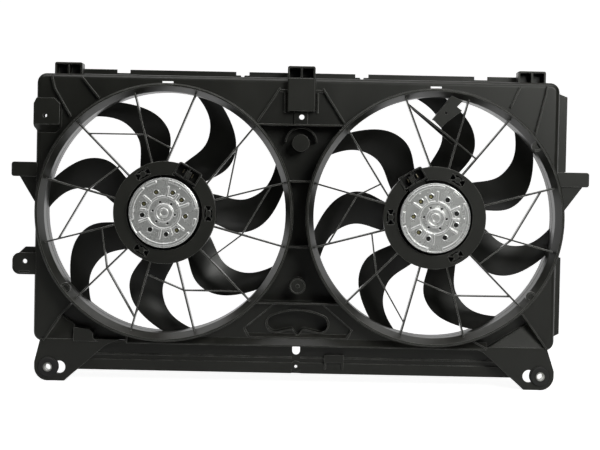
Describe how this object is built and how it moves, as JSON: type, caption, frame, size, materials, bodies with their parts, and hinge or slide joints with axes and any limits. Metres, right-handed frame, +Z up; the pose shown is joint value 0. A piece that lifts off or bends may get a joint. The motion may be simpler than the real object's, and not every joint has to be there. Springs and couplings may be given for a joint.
{
  "type": "radiator cooling fan",
  "caption": "Dual electric radiator fan assembly: black moulded shroud with ring ducts, swept ring fans on spoked motor carriers, and rubber isolators in the lower tabs.",
  "frame": {"origin": "midway between the two lower isolator bores, at mid thickness of their tabs", "axes": "+X to the right as seen from the engine side, +Y towards the radiator, +Z up"},
  "size_m": [0.914, 0.104, 0.5055],
  "materials": {
    "black_shroud_plastic": "moulded satin black",
    "black_fan_plastic": "moulded satin black",
    "black_connector_plastic": "moulded satin",
    "black_rubber": "matte",
    "stamped_cap_steel": "zinc-plated, stamped",
    "motor_can_steel": "black coat",
    "zinc_steel": "zinc-plated",
    "shaft_steel": "ground",
    "bearing_steel": "polished",
    "spring_steel": "plain",
    "lamination_steel": "plain",
    "copper_wire": "enamelled",
    "commutator_copper": "turned",
    "tinned_brass": "tinned",
    "ferrite": "ground",
    "brown_insulator": "moulded",
    "carbon": "matte"
  },
  "bodies": {
    "shroud": {"shroud_housing": "black_shroud_plastic", "centre_well": "black_shroud_plastic", "bottom_tray": "black_shroud_plastic", "lower_rail": "black_shroud_plastic", "harness_bracket": "black_shroud_plastic", "left_duct_ring": "black_shroud_plastic", "left_spokes": "black_shroud_plastic", "left_spoke_links": "black_shroud_plastic", "right_duct_ring": "black_shroud_plastic", "right_spokes": "black_shroud_plastic", "right_spoke_links": "black_shroud_plastic", "left_motor_carrier": "black_shroud_plastic", "left_isolator": "black_rubber", "left_isolator_sleeve": "zinc_steel", "left_motor_yoke": "motor_can_steel", "left_motor_end_cap": "stamped_cap_steel", "left_magnets": "ferrite", "left_brush_plate": "brown_insulator", "left_brushes": "carbon", "left_brush_springs": "spring_steel", "left_front_bearing": "bearing_steel", "left_rear_bearing": "bearing_steel", "left_connector": "black_connector_plastic", "left_connector_terminals": "tinned_brass", "left_motor_screws": "zinc_steel", "right_motor_carrier": "black_shroud_plastic", "right_isolator": "black_rubber", "right_isolator_sleeve": "zinc_steel", "right_motor_yoke": "motor_can_steel", "right_motor_end_cap": "stamped_cap_steel", "right_magnets": "ferrite", "right_brush_plate": "brown_insulator", "right_brushes": "carbon", "right_brush_springs": "spring_steel", "right_front_bearing": "bearing_steel", "right_rear_bearing": "bearing_steel", "right_connector": "black_connector_plastic", "right_connector_terminals": "tinned_brass", "right_motor_screws": "zinc_steel"},
    "left_rotor": {"left_fan": "black_fan_plastic", "left_motor_shaft": "shaft_steel", "left_armature_core": "lamination_steel", "left_armature_windings": "copper_wire", "left_commutator": "commutator_copper", "left_fan_nut": "zinc_steel"},
    "right_rotor": {"right_fan": "black_fan_plastic", "right_motor_shaft": "shaft_steel", "right_armature_core": "lamination_steel", "right_armature_windings": "copper_wire", "right_commutator": "commutator_copper", "right_fan_nut": "zinc_steel"}
  },
  "joints": [
    {"name": "left_fan_spin", "type": "hinge", "parent": "shroud", "child": "left_rotor", "pos_m": [-0.208, 0, 0.2486], "axis": [0, -1, 0], "continuous": true},
    {"name": "right_fan_spin", "type": "hinge", "parent": "shroud", "child": "right_rotor", "pos_m": [0.216, 0, 0.2486], "axis": [0, -1, 0], "continuous": true}
  ]
}
